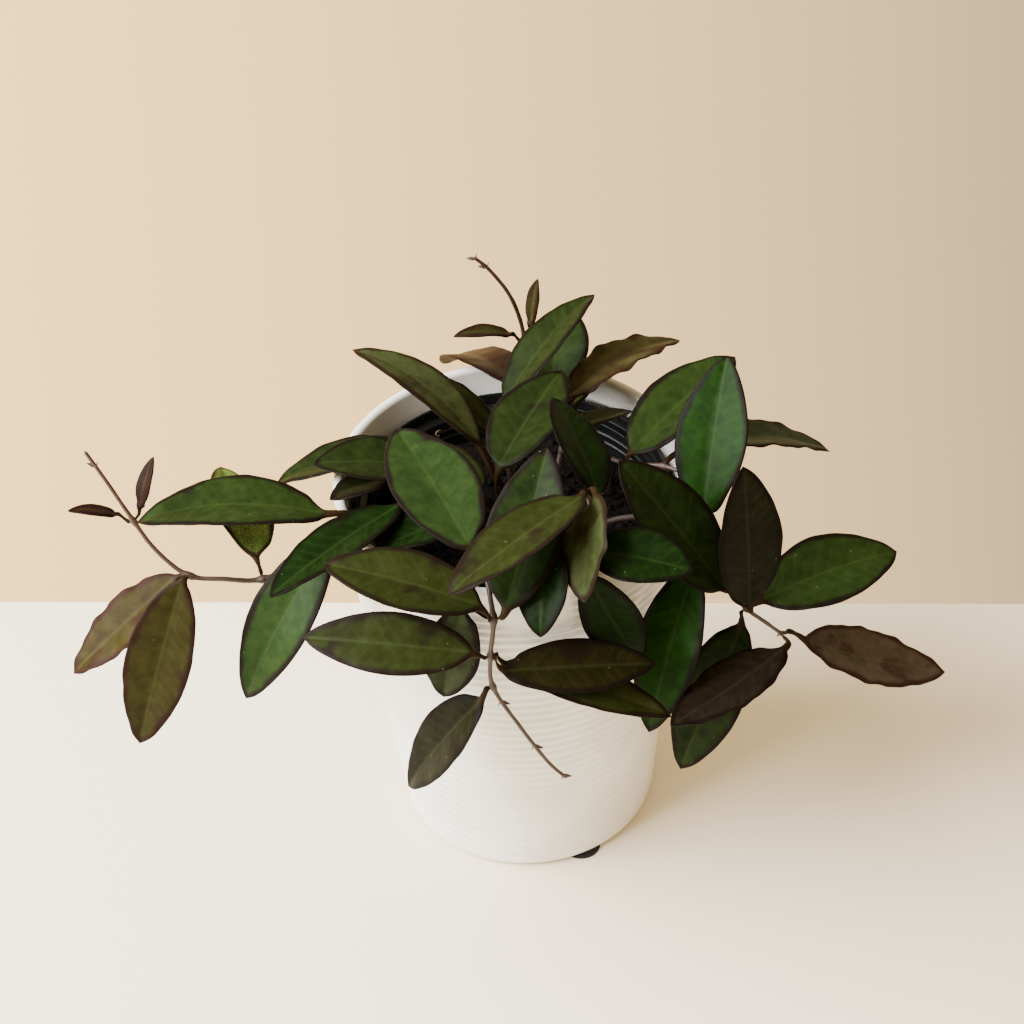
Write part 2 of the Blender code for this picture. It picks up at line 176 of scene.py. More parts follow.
LEAF_FINISHES = {
    "deep": LeafFinish("#081604", "#0f2007", "#0b0906", 0.1),
    "vivid": LeafFinish("#0b1f03", "#132c07", "#0e0c08", 0.1),
    "green": LeafFinish("#18240c", "#223012", "#110c0a", 0.2),
    "moss": LeafFinish("#0f1907", "#19250b", "#100b09", 0.3),
    "blue": LeafFinish("#1a2a12", "#263518", "#150f0f", 0.15),
    "slate": LeafFinish("#1f2716", "#2b3420", "#130e0c", 0.3),
    "olive": LeafFinish("#1a1f09", "#232910", "#150e0a", 0.35),
    "olive_bronze": LeafFinish("#1e1c0a", "#282610", "#1c100c", 0.5),
    "bronze": LeafFinish("#27230e", "#333018", "#20120c", 0.6),
    "dusk": LeafFinish("#141305", "#1d1b0b", "#110b08", 0.4),
    "plum": LeafFinish("#3c342a", "#493f34", "#2a1a14", 0.5),
    "khaki": LeafFinish("#282e17", "#343b23", "#1b120d", 0.4),
    "straw": LeafFinish("#262008", "#322b10", "#26150f", 0.5),
    "pale": LeafFinish("#272d12", "#343a1f", "#1b140e", 0.3),
    # Painted light: a pale olive brightened well past these leaves' own colour, standing in for the
    # light they miss where they sit in shade under their neighbours.
    "pale_olive": LeafFinish("#4c5d28", "#5d6c35", "#1f150e", 0.25),
    "ivy": LeafFinish("#131b08", "#1c260e", "#100c09", 0.2),
    # Painted shade: a darker copy of the dusk colours, for leaves that hang in shadow.
    "night": LeafFinish("#0d0e05", "#15160a", "#0d0907", 0.3),
    "umber": LeafFinish("#17120d", "#201a13", "#110a08", 0.4),
    "wine": LeafFinish("#1d0f0b", "#261711", "#170b09", 0.4),
}


def linear(hex_colour):
    """An sRGB colour, #rrggbb, as linear red, green, blue and alpha."""
    channels = [int(hex_colour[at:at + 2], 16) / 255 for at in (1, 3, 5)]
    return (*(c / 12.92 if c <= 0.04045 else ((c + 0.055) / 1.055) ** 2.4 for c in channels), 1.0)


def colour_property(name, description, hex_colour):
    return FloatVectorProperty(
        name=name,
        description=description,
        subtype="COLOR",
        size=4,
        min=0.0,
        max=1.0,
        default=linear(hex_colour),
    )


# ---- settings


class HoyaPots(bpy.types.PropertyGroup):
    """Sizes and colours of the two pots, the foot pads and the soil."""

    ring_pitch: FloatProperty(
        name="Ring pitch",
        description="Height from one turned ring of the cachepot to the next",
        default=4.35 * MM,
        min=1.0 * MM,
        unit="LENGTH",
    )
    ring_depth: FloatProperty(
        name="Ring depth",
        description="How deep the hollows between the turned rings are",
        default=0.45 * MM,
        min=0.0,
        unit="LENGTH",
    )
    glaze: colour_property("Glaze", "White glaze of the cachepot", "#e9e8e4")
    glaze_shade: colour_property("Glaze, thin", "Where the glaze runs thinner", "#dedcd6")
    pinholes: colour_property("Pinholes", "Specks in the glaze", "#3a362f")
    plastic: colour_property("Plastic", "Moulded plastic of the nursery pot", "#0b0d0e")
    rubber: colour_property("Rubber", "Foot pads", "#161514")
    peat: colour_property("Peat", "Damp potting mix", "#050403")
    bark_chip: colour_property("Bark chips", "Lighter crumbs in the potting mix", "#120c08")


class HoyaStems(bpy.types.PropertyGroup):
    """Colours of the stems, petioles and bracts."""

    old_bark: colour_property("Old stem", "Bark near the soil", "#23160d")
    young_bark: colour_property("Young stem", "Bark near the growing tip", "#362118")
    streak: colour_property("Stem streaks", "Pale corky streaks along the stems", "#38281c")
    petiole: colour_property("Petiole", "Leaf stalks", "#24190d")
    midrib: colour_property("Midrib", "Midrib and veins of the leaves", "#4d5a34")
    tendril: colour_property("Tendril", "Dry curl in the nursery pot", "#8d6f4c")


class HoyaLeaves(bpy.types.PropertyGroup):
    """Colours of every leaf finish: body, lighter mottling and margin."""


for finish_name, leaf_finish in LEAF_FINISHES.items():
    words = finish_name.replace("_", " ")
    for part, meaning in FINISH_PARTS.items():
        HoyaLeaves.__annotations__[f"{finish_name}_{part}"] = colour_property(
            f"{words.capitalize()}, {part}",
            f"{meaning.capitalize()} of the {words} leaves",
            getattr(leaf_finish, part),
        )


class HoyaStage(bpy.types.PropertyGroup):
    """Colours and light of the stage."""

    floor: colour_property("Floor", "Pale matt surface under the pot", "#efe3cc")
    backdrop_left: colour_property("Backdrop left", "Backdrop on the light's side", "#ffd188")
    backdrop_right: colour_property("Backdrop right", "Backdrop on the far side", "#88745a")
    backdrop_glow: FloatProperty(
        name="Backdrop glow",
        description="How brightly the backdrop glows",
        default=3.4,
        min=0.0,
    )
    dome: colour_property("Dome", "Soft light from above", "#ffe2b0")
    dome_glow: FloatProperty(
        name="Dome glow",
        description="How brightly the soft light from above glows",
        default=1.1,
        min=0.0,
    )
    key_power: FloatProperty(
        name="Key light",
        description="Power of the large soft light at the left",
        default=112.0,
        min=0.0,
        unit="POWER",
    )


# ---- shared shaping


def add_object(name, bm):
    """Turns a bmesh into an object of the scene, with its faces outwards."""
    bmesh.ops.recalc_face_normals(bm, faces=bm.faces)
    mesh = bpy.data.meshes.new(name)
    bm.to_mesh(mesh)
    bm.free()
    made = bpy.data.objects.new(name, mesh)
    bpy.context.scene.collection.objects.link(made)
    return made


def add_piece(name, bm, material, slot, *nodes):
    """Turns a bmesh into a piece of the plant that stands for its CAD nodes."""
    piece = add_object(name, bm)
    piece.data.shade_smooth()
    piece.data.materials.append(material)
    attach(piece, "root")
    if nodes:
        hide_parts(*nodes)
    return piece


def rolled(bm, turns, rows, place, facts=()):
    """Rolls a grid into a closed tube.

    place(turn, run) gives a point and then its facts, from the shares round and along the tube.
    """
    bm.loops.layers.uv.verify()
    layers = [bm.verts.layers.float.get(fact) or bm.verts.layers.float.new(fact) for fact in facts]
    sheet = bmesh.ops.create_grid(bm, x_segments=turns, y_segments=rows, size=0.5, calc_uvs=True)
    for vert in sheet["verts"]:
        vert.co, *values = place(vert.co.x + 0.5, vert.co.y + 0.5)
        for layer, value in zip(layers, values):
            vert[layer] = value
    bmesh.ops.remove_doubles(bm, verts=sheet["verts"], dist=SEAM)


def turned(bm, profile, steps):
    """Spins a profile of (radius, height) points once round the pot's axis."""
    verts = [bm.verts.new((radius, 0.0, height)) for radius, height in profile]
    edges = [bm.edges.new(pair) for pair in zip(verts, verts[1:])]
    bmesh.ops.spin(
        bm,
        geom=verts + edges,
        cent=(0.0, 0.0, 0.0),
        axis=(0.0, 0.0, 1.0),
        angle=math.tau,
        steps=steps,
        use_merge=True,
    )
    bmesh.ops.remove_doubles(bm, verts=bm.verts, dist=SEAM)


def upright_cylinder(bm, centre, radius, height, segments):
    """Adds a closed cylinder that stands round centre."""
    bmesh.ops.create_cone(
        bm,
        cap_ends=True,
        segments=segments,
        radius1=radius,
        radius2=radius,
        depth=height,
        matrix=Matrix.Translation(centre),
    )


def arc(radius, height, size, start, end, steps):
    """Points along an arc about (radius, height), angles in degrees."""
    for step in range(steps + 1):
        angle = math.radians(start + (end - start) * step / steps)
        yield (radius + size * math.cos(angle), height + size * math.sin(angle))


def level_off(value, low, high):
    """0 below low, 1 above high, and a smooth rise between."""
    share = min(1.0, max(0.0, (value - low) / (high - low)))
    return share * share * (3 - 2 * share)


def bell(distance, width):
    return math.exp(-((distance / width) ** 2))


def blend(a, b, share):
    return a + (b - a) * share


def even_steps(start, end, steps):
    return [blend(start, end, step / steps) for step in range(steps + 1)]


def smooth_at(places, values, place):
    """The value at a place on the smooth curve through values, which stand at rising places."""
    last = len(places) - 1
    index = 0
    while index < last - 1 and places[index + 1] < place:
        index += 1

    def slope(at):
        before, after = max(at - 1, 0), min(at + 1, last)
        return (values[after] - values[before]) / (places[after] - places[before])

    span = places[index + 1] - places[index]
    share = (place - places[index]) / span
    return (
        values[index] * (2 * share**3 - 3 * share**2 + 1)
        + slope(index) * (span * (share**3 - 2 * share**2 + share))
        + values[index + 1] * (3 * share**2 - 2 * share**3)
        + slope(index + 1) * (span * (share**3 - share**2))
    )


def run_lengths(points):
    """How far along a line each of its points lies."""
    places = [0.0]
    for here, after in zip(points, points[1:]):
        places.append(places[-1] + (after - here).length)
    return places


# ---- reading the frame


def levels_from(pole):
    """The vertices of a closed sweep, level by level away from one vertex."""
    levels = [[pole]]
    seen = {pole}
    while levels[-1]:
        level = []
        for vert in levels[-1]:
            for edge in vert.link_edges:
                other = edge.other_vert(vert)
                if other not in seen:
                    seen.add(other)
                    level.append(other)
        levels.append(level)
    return levels[:-1]


def in_order(ring):
    """A ring's vertices in the order that its edges join them."""
    loop = [ring[0]]
    while len(loop) < len(ring):
        joined = [edge.other_vert(loop[-1]) for edge in loop[-1].link_edges]
        loop.append(next(vert for vert in joined if vert in ring and vert not in loop))
    return loop


def coarse_rings(node_name, base_is_wide):
    """The points of a CAD leaf's or stem's rings, from its base pole to its tip pole."""
    bm = bmesh.new()
    bm.from_mesh(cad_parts[node_name].data)
    bmesh.ops.remove_doubles(bm, verts=bm.verts, dist=SEAM)
    for vert in bm.verts:
        levels = levels_from(vert)
        sides = {len(level) for level in levels[1:-1]}
        if len(levels[-1]) == 1 and len(sides) == 1:
            break
    rings = [[corner.co.copy() for corner in in_order(level)] for level in levels]
    bm.free()

    def width(ring):
        return max((a - b).length for a in ring for b in ring)

    if (width(rings[2]) < width(rings[-3])) == base_is_wide:
        rings.reverse()
    return rings


# How a leaf lies at one ring: its middle, the ways to its left margin and upper side, and its sizes.
Section = namedtuple("Section", "centre left up half lift")


def blade_section(ring, forward):
    """Reads a blade ring: its margins are its widest pair, with three corners above and one below."""
    size = len(ring)
    pairs = [(a, b) for a in range(size) for b in range(a + 2, size) if b - a != size - 1]
    first, second = max(pairs, key=lambda pair: (ring[pair[0]] - ring[pair[1]]).length)
    one_side = ring[first + 1:second]
    other_side = ring[second + 1:] + ring[:first]
    above, below = sorted((one_side, other_side), key=len, reverse=True)
    upper_mid = above[len(above) // 2]
    lower_mid = below[len(below) // 2]
    up = (upper_mid - lower_mid).normalized()
    centre = upper_mid * 0.75 + lower_mid * 0.25
    left = (ring[first] - ring[second]) / 2
    if left.dot(up.cross(forward)) < 0:
        left = -left
    lift = ((ring[first] + ring[second]) / 2 - centre).dot(up)
    return Section(centre, left.normalized(), up, left.length, lift)


def leaf_sections(node_name):
    """The Sections of a CAD leaf from its base pole to its tip pole."""
    rings = coarse_rings(node_name, base_is_wide=False)
    middles = [sum(ring, Vector()) / len(ring) for ring in rings]
    blade = range(1 + PETIOLE_RINGS, len(rings) - 1)
    read = {at: blade_section(rings[at], middles[at + 1] - middles[at - 1]) for at in blade}
    first, last = read[blade[0]], read[blade[-1]]
    sections = []
    for at, middle in enumerate(middles):
        if at in read:
            sections.append(read[at])
        elif at < blade[0]:
            radius = (rings[at][0] - middle).length
            sections.append(Section(middle, first.left, first.up, radius, 0.0))
        else:
            sections.append(Section(middle, last.left, last.up, 0.0, 0.0))
    reach = (sections[0].centre - sections[1].centre).normalized() * PETIOLE_REACH
    sections[0] = sections[0]._replace(centre=sections[0].centre + reach)
    return sections


def stem_line(node_name):
    """Centres and radii of a CAD stem from the soil to its tip."""
    rings = coarse_rings(node_name, base_is_wide=True)
    centres = [sum(ring, Vector()) / len(ring) for ring in rings]
    radii = [(ring[0] - centre).length for ring, centre in zip(rings, centres)]
    centres[0] += (centres[0] - centres[2]).normalized() * STEM_REACH
    radii[0] = radii[1]
    return centres, radii


def leaf_nodes(stem):
    """The names of the CAD leaves that grow on a stem, by number."""
    count = len(LEAF_WEAR[stem].split())
    return [f"leaf_{stem}_{number}" for number in range(1, count + 1)]


# ---- materials
# MapRange sockets: 0 the value, 1 and 2 its lowest and highest, 3 and 4 what those become (0 and 1
# unless given). Colour Mix sockets: 0 the share of the second colour, 6 and 7 the colours.


def feed(tree, node, feeds):
    """Sets a node's sockets to values, or links them to the sockets that feed them."""
    for socket, value in feeds.items():
        if isinstance(value, bpy.types.NodeSocket):
            tree.links.new(value, node.inputs[socket])
        else:
            node.inputs[socket].default_value = value


def add_node(tree, kind, feeds, output=0, **settings):
    """Adds a shader node with its settings and what its sockets are fed, and gives one output."""
    node = tree.nodes.new("ShaderNode" + kind)
    for name, value in settings.items():
        setattr(node, name, value)
    feed(tree, node, feeds)
    return node.outputs[output]


def start_material(name):
    """A new material, its tree and shader, and the place on the object that its patterns read."""
    material = bpy.data.materials.new(name)
    material.use_nodes = True
    tree = material.node_tree
    place = add_node(tree, "TexCoord", {}, "Object")
    return material, tree, tree.nodes["Principled BSDF"], place


def waxy_cuticle(finish_name):
    """A thick succulent leaf under a smooth wax: soft broad highlights over mottled green and brown."""
    colours = bpy.context.scene.hoya_leaves
    stems = bpy.context.scene.hoya_stems
    body, light, edge = (getattr(colours, f"{finish_name}_{part}") for part in FINISH_PARTS)
    blotches = LEAF_FINISHES[finish_name].blotches
    material, tree, shader, place = start_material(f"waxy_cuticle_{finish_name}")
    across, along, inward, upper, stalk = (
        add_node(tree, "Attribute", {}, "Fac", attribute_name=fact) for fact in LEAF_FACTS
    )

    # Mottling about 5 mm across, and blotches about 12 mm across where the leaf turns bronze.
    mottle = add_node(tree, "TexNoise", {"Vector": place, "Scale": 200.0, "Detail": 4.0})
    mottle_share = add_node(
        tree, "MapRange", {0: mottle, 1: 0.3, 2: 0.75, 4: 0.8}, interpolation_type="SMOOTHSTEP"
    )
    patch = add_node(tree, "TexNoise", {"Vector": place, "Scale": 75.0, "Detail": 3.0})
    patch_share = add_node(
        tree,
        "MapRange",
        {0: patch, 1: 0.66 - 0.3 * blotches, 2: 0.8 - 0.22 * blotches, 4: 0.75},
        interpolation_type="SMOOTHSTEP",
    )

    # Veins leave the midrib 5 mm apart and lean forward; the midrib fades out 1 mm to each side.
    side = add_node(tree, "Math", {0: across}, operation="ABSOLUTE")
    lean = add_node(tree, "Math", {0: side, 1: -0.75, 2: along}, operation="MULTIPLY_ADD")
    wander = add_node(tree, "Math", {0: mottle, 1: 6.5, 2: lean}, operation="MULTIPLY_ADD")
    vein = add_node(tree, "Math", {0: wander, 1: 2.5}, operation="PINGPONG")
    vein_share = add_node(
        tree, "MapRange", {0: vein, 1: 0.0, 2: 1.3, 3: 0.15, 4: 0.0}, interpolation_type="SMOOTHSTEP"
    )
    rib_share = add_node(
        tree, "MapRange", {0: side, 1: 0.1, 2: 1.1, 3: 0.3, 4: 0.0}, interpolation_type="SMOOTHSTEP"
    )
    # Most veins fade out under the wax.
    faded = add_node(tree, "MapRange", {0: patch, 1: 0.35, 2: 0.65, 3: 1.0, 4: 0.1})
    vein_share = add_node(tree, "Math", {0: vein_share, 1: faded}, operation="MULTIPLY")
    net = add_node(tree, "Math", {0: vein_share, 1: rib_share}, operation="MAXIMUM")
    rib = tuple(blend(part, pale, 0.22) for part, pale in zip(light, stems.midrib))

    # The margin is 1 to 3 mm of dark brown, broader and narrower by turns.
    uneven = add_node(tree, "Math", {0: patch, 1: -4.4, 2: inward}, operation="MULTIPLY_ADD")
    margin_share = add_node(
        tree, "MapRange", {0: uneven, 1: -1.1, 2: 1.0, 3: 0.97, 4: 0.0}, interpolation_type="SMOOTHSTEP"
    )

    # The underside is paler and greyer, without the blotches.
    below = tuple(blend(part, wax, 0.3) for part, wax in zip(light, linear("#2b2f20")))
    under_share = add_node(tree, "MapRange", {0: upper, 3: 0.85, 4: 0.0})

    # A few pale specks, under half a millimetre, 7 mm apart.
    cells = add_node(tree, "TexVoronoi", {"Vector": place, "Scale": 140.0})
    speck = add_node(tree, "MapRange", {0: cells, 1: 0.025, 2: 0.05, 3: 0.5, 4: 0.0})

    colour = body
    for share, over in (
        (mottle_share, light),
        (patch_share, edge),
        (net, rib),
        (margin_share, edge),
        (under_share, below),
        (stalk, stems.petiole),
        (speck, linear("#5b634d")),
    ):
        colour = add_node(tree, "Mix", {0: share, 6: colour, 7: over}, 2, data_type="RGBA")

    # Wax scatters the light where it is thicker; the underside is duller.
    gloss = add_node(tree, "MapRange", {0: patch, 1: 0.3, 2: 0.7, 3: 0.3, 4: 0.44})
    rough = add_node(tree, "Math", {0: under_share, 1: 0.16, 2: gloss}, operation="MULTIPLY_ADD")

    grain = add_node(tree, "TexNoise", {"Vector": place, "Scale": 900.0, "Detail": 2.0})
    relief = add_node(tree, "Math", {0: net, 1: -0.8, 2: mottle}, operation="MULTIPLY_ADD")
    relief = add_node(tree, "Math", {0: grain, 1: 0.16, 2: relief}, operation="MULTIPLY_ADD")
    bump = add_node(tree, "Bump", {"Height": relief, "Distance": 0.25 * MM, "Strength": 0.6})
    feed(tree, shader, {
        "Base Color": colour,
        "Roughness": rough,
        "IOR": 1.45,
        "Specular IOR Level": 0.035,
        "Normal": bump,
    })
    return material


def corky_bark():
    """A climbing stem's skin: dull, brown and streaked near the soil, smoother and redder at the tip."""
    stems = bpy.context.scene.hoya_stems
    material, tree, shader, place = start_material("corky_bark")
    surface = add_node(tree, "UVMap", {})
    young = add_node(tree, "Attribute", {}, "Fac", attribute_name="young")
    colour = add_node(
        tree, "Mix", {0: young, 6: stems.old_bark, 7: stems.young_bark}, 2, data_type="RGBA"
    )
    # Streaks run lengthways, about half a millimetre wide and 8 mm long.
    stretched = add_node(tree, "Mapping", {"Vector": surface, "Scale": (9.0, 24.0, 1.0)})
    streaks = add_node(tree, "TexNoise", {"Vector": stretched, "Scale": 1.0, "Detail": 3.0})
    streak_share = add_node(tree, "MapRange", {0: streaks, 1: 0.5, 2: 0.72, 4: 0.55})
    colour = add_node(tree, "Mix", {0: streak_share, 6: colour, 7: stems.streak}, 2, data_type="RGBA")
    rough = add_node(tree, "MapRange", {0: young, 3: 0.68, 4: 0.46})
    warts = add_node(tree, "TexNoise", {"Vector": place, "Scale": 1400.0, "Detail": 3.0})
    relief = add_node(tree, "Math", {0: warts, 1: 0.7, 2: streaks}, operation="MULTIPLY_ADD")
    bump = add_node(tree, "Bump", {"Height": relief, "Distance": 0.12 * MM, "Strength": 0.5})
    feed(tree, shader, {"Base Color": colour, "Roughness": rough, "Normal": bump})
    return material


def satin_glaze():
    """White tin glaze on turned stoneware: a satin shine, soft pools, and a pinhole here and there."""
    pots = bpy.context.scene.hoya_pots
    material, tree, shader, place = start_material("satin_glaze")
    # The glaze pools over 30 mm or so.
    pools = add_node(tree, "TexNoise", {"Vector": place, "Scale": 33.0, "Detail": 2.0})
    pool_share = add_node(tree, "MapRange", {0: pools, 1: 0.35, 2: 0.65})
    colour = add_node(
        tree, "Mix", {0: pool_share, 6: pots.glaze, 7: pots.glaze_shade}, 2, data_type="RGBA"
    )
    # Pinholes under half a millimetre wide, in cells of 11 mm, kept to a few cells by the pools.
    cells = add_node(tree, "TexVoronoi", {"Vector": place, "Scale": 90.0})
    hole = add_node(tree, "MapRange", {0: cells, 1: 0.016, 2: 0.03, 3: 1.0, 4: 0.0})
    kept = add_node(tree, "MapRange", {0: pools, 1: 0.6, 2: 0.62})
    hole = add_node(tree, "Math", {0: hole, 1: kept}, operation="MULTIPLY")
    colour = add_node(tree, "Mix", {0: hole, 6: colour, 7: pots.pinholes}, 2, data_type="RGBA")
    rough = add_node(tree, "MapRange", {0: pools, 1: 0.3, 2: 0.7, 3: 0.26, 4: 0.36})
    ripple = add_node(tree, "TexNoise", {"Vector": place, "Scale": 260.0, "Detail": 3.0})
    bump = add_node(tree, "Bump", {"Height": ripple, "Distance": 0.12 * MM, "Strength": 0.35})
    feed(tree, shader, {"Base Color": colour, "Roughness": rough, "IOR": 1.52, "Normal": bump})
    return material


def moulded_plastic():
    """Injection-moulded black polypropylene: smooth, half gloss, with faint flow marks and dust."""
    pots = bpy.context.scene.hoya_pots
    material, tree, shader, place = start_material("moulded_plastic")
    dust = add_node(tree, "TexNoise", {"Vector": place, "Scale": 120.0, "Detail": 5.0})
    dust_share = add_node(tree, "MapRange", {0: dust, 1: 0.5, 2: 0.8, 4: 0.3})
    colour = add_node(
        tree, "Mix", {0: dust_share, 6: pots.plastic, 7: linear("#22211f")}, 2, data_type="RGBA"
    )
    rough = add_node(tree, "MapRange", {0: dust, 1: 0.3, 2: 0.75, 3: 0.34, 4: 0.52})
    bump = add_node(tree, "Bump", {"Height": dust, "Distance": 0.1 * MM, "Strength": 0.3})
    feed(tree, shader, {
        "Base Color": colour,
        "Roughness": rough,
        "IOR": 1.49,
        "Specular IOR Level": 0.3,
        "Normal": bump,
    })
    return material


def foot_rubber():
    """Pressed black rubber: dull, with a fine pitted skin."""
    pots = bpy.context.scene.hoya_pots
    material, tree, shader, place = start_material("foot_rubber")
    pits = add_node(tree, "TexNoise", {"Vector": place, "Scale": 1500.0, "Detail": 3.0})
    worn = tuple(blend(channel, 0.05, 0.3) for channel in pots.rubber[:3]) + (1.0,)
    colour = add_node(tree, "Mix", {0: pits, 6: pots.rubber, 7: worn}, 2, data_type="RGBA")
    bump = add_node(tree, "Bump", {"Height": pits, "Distance": 0.1 * MM, "Strength": 0.5})
    feed(tree, shader, {
        "Base Color": colour,
        "Roughness": 0.75,
        "Specular IOR Level": 0.2,
        "Normal": bump,
    })
    return material


def damp_peat():
    """Damp peat and fine bark: almost black, crumbly, with a few browner chips."""
    pots = bpy.context.scene.hoya_pots
    material, tree, shader, place = start_material("damp_peat")
    crumbs = add_node(tree, "TexVoronoi", {"Vector": place, "Scale": 420.0}, "Color")
    crumb = add_node(tree, "SeparateColor", {0: crumbs})
    chip_share = add_node(tree, "MapRange", {0: crumb, 1: 0.55, 2: 0.95})
    colour = add_node(tree, "Mix", {0: chip_share, 6: pots.peat, 7: pots.bark_chip}, 2, data_type="RGBA")
    fibre = add_node(tree, "TexNoise", {"Vector": place, "Scale": 900.0, "Detail": 5.0})
    rough = add_node(tree, "MapRange", {0: fibre, 3: 0.7, 4: 0.95})
    bump = add_node(tree, "Bump", {"Height": fibre, "Distance": 0.6 * MM, "Strength": 0.9})
    feed(tree, shader, {
        "Base Color": colour,
        "Roughness": rough,
        "Specular IOR Level": 0.12,
        "Normal": bump,
    })
    return material


def dry_tendril_skin():
    """A dried plant curl: papery tan, faintly banded."""
    stems = bpy.context.scene.hoya_stems
    material, tree, shader, place = start_material("dry_tendril_skin")
    bands = add_node(tree, "TexNoise", {"Vector": place, "Scale": 1200.0, "Detail": 2.0})
    dark = tuple(channel * 0.6 for channel in stems.tendril[:3]) + (1.0,)
    colour = add_node(tree, "Mix", {0: bands, 6: dark, 7: stems.tendril}, 2, data_type="RGBA")
    feed(tree, shader, {"Base Color": colour, "Roughness": 0.7})
    return material


def matt_board():
    """The stage's floor: pale board with the faintest mottle."""
    stage = bpy.context.scene.hoya_stage
    material, tree, shader, place = start_material("matt_board")
    fibres = add_node(tree, "TexNoise", {"Vector": place, "Scale": 8.0, "Detail": 4.0})
    dim = tuple(channel * 0.97 for channel in stage.floor[:3]) + (1.0,)
    colour = add_node(tree, "Mix", {0: fibres, 6: dim, 7: stage.floor}, 2, data_type="RGBA")
    feed(tree, shader, {"Base Color": colour, "Roughness": 0.6})
    return material


# ---- pots and soil


class HOYA_OT_cachepot(bpy.types.Operator):
    """Adds the white cachepot with its turned rings"""

    bl_idname = "hoya.cachepot"
    bl_label = "Cachepot"

    def execute(self, context):
        pots = context.scene.hoya_pots
        low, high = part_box("cachepot")
        rim_radius = high.x
        rim_rounding = POT_WALL / 2
        rise = high.z - low.z
        wall_low = low.z + POT_FOOT_ROUNDING
        wall_high = high.z - rim_rounding
        rows = round((wall_high - wall_low) / POT_ROW)

        def straight(height):
            return blend(POT_BASE_RADIUS, rim_radius, (height - low.z) / rise)

        def ring_hollow(height):
            phase = math.tau * (height - POT_SMOOTH_FOOT) / pots.ring_pitch
            fade = level_off(height, POT_SMOOTH_FOOT - MM, POT_SMOOTH_FOOT + 3 * MM)
            fade *= 1 - level_off(height, high.z - POT_SMOOTH_RIM - 3 * MM, high.z - POT_SMOOTH_RIM)
            foot_line = FOOT_LINE_DEPTH * bell(height - low.z - FOOT_LINE_HEIGHT, FOOT_LINE_WIDTH)
            return fade * pots.ring_depth * (0.5 - 0.5 * math.cos(phase)) + foot_line

        floor = low.z + POT_FLOOR
        floor_radius = straight(floor) - POT_WALL
        foot_radius = straight(wall_low) - POT_FOOT_ROUNDING
        profile = [(0.0, low.z), (foot_radius / 2, low.z)]
        profile += arc(foot_radius, wall_low, POT_FOOT_ROUNDING, -90.0, -8.0, 8)
        for height in even_steps(wall_low, wall_high, rows)[1:-1]:
            profile.append((straight(height) - ring_hollow(height), height))
        profile += arc(rim_radius - rim_rounding, wall_high, rim_rounding, 0.0, 180.0, 14)
        for height in even_steps(wall_high, floor + POT_FLOOR_FILLET, 12)[1:-1]:
            profile.append((straight(height) - POT_WALL, height))
        fillet = floor_radius - POT_FLOOR_FILLET
        profile += arc(fillet, floor + POT_FLOOR_FILLET, POT_FLOOR_FILLET, 0.0, -90.0, 6)
        profile += [(fillet / 2, floor), (0.0, floor)]
        bm = bmesh.new()
        turned(bm, profile, POT_TURN)
        add_piece("ringed_cachepot", bm, satin_glaze(), "cachepot_glaze", "cachepot")
        return {"FINISHED"}


class HOYA_OT_foot_pads(bpy.types.Operator):
    """Adds the three rubber pads under the cachepot"""

    bl_idname = "hoya.foot_pads"
    bl_label = "Foot pads"

    def execute(self, context):
        rubber = foot_rubber()
        for number in (1, 2, 3):
            node = f"foot_pad_{number}"
            low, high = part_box(node)
            bm = bmesh.new()
            upright_cylinder(bm, (low + high) / 2, (high.x - low.x) / 2, high.z - low.z, 48)
            rims = [edge for edge in bm.edges if any(len(face.verts) > 4 for face in edge.link_faces)]
            bmesh.ops.bevel(
                bm,
                geom=rims,
                offset=0.25 * MM,
                offset_type="OFFSET",
                affect="EDGES",
                segments=3,
                profile=0.5,
                material=-1,
            )
            add_piece(f"rubber_foot_{number}", bm, rubber, "foot_pad_rubber", node)
        return {"FINISHED"}


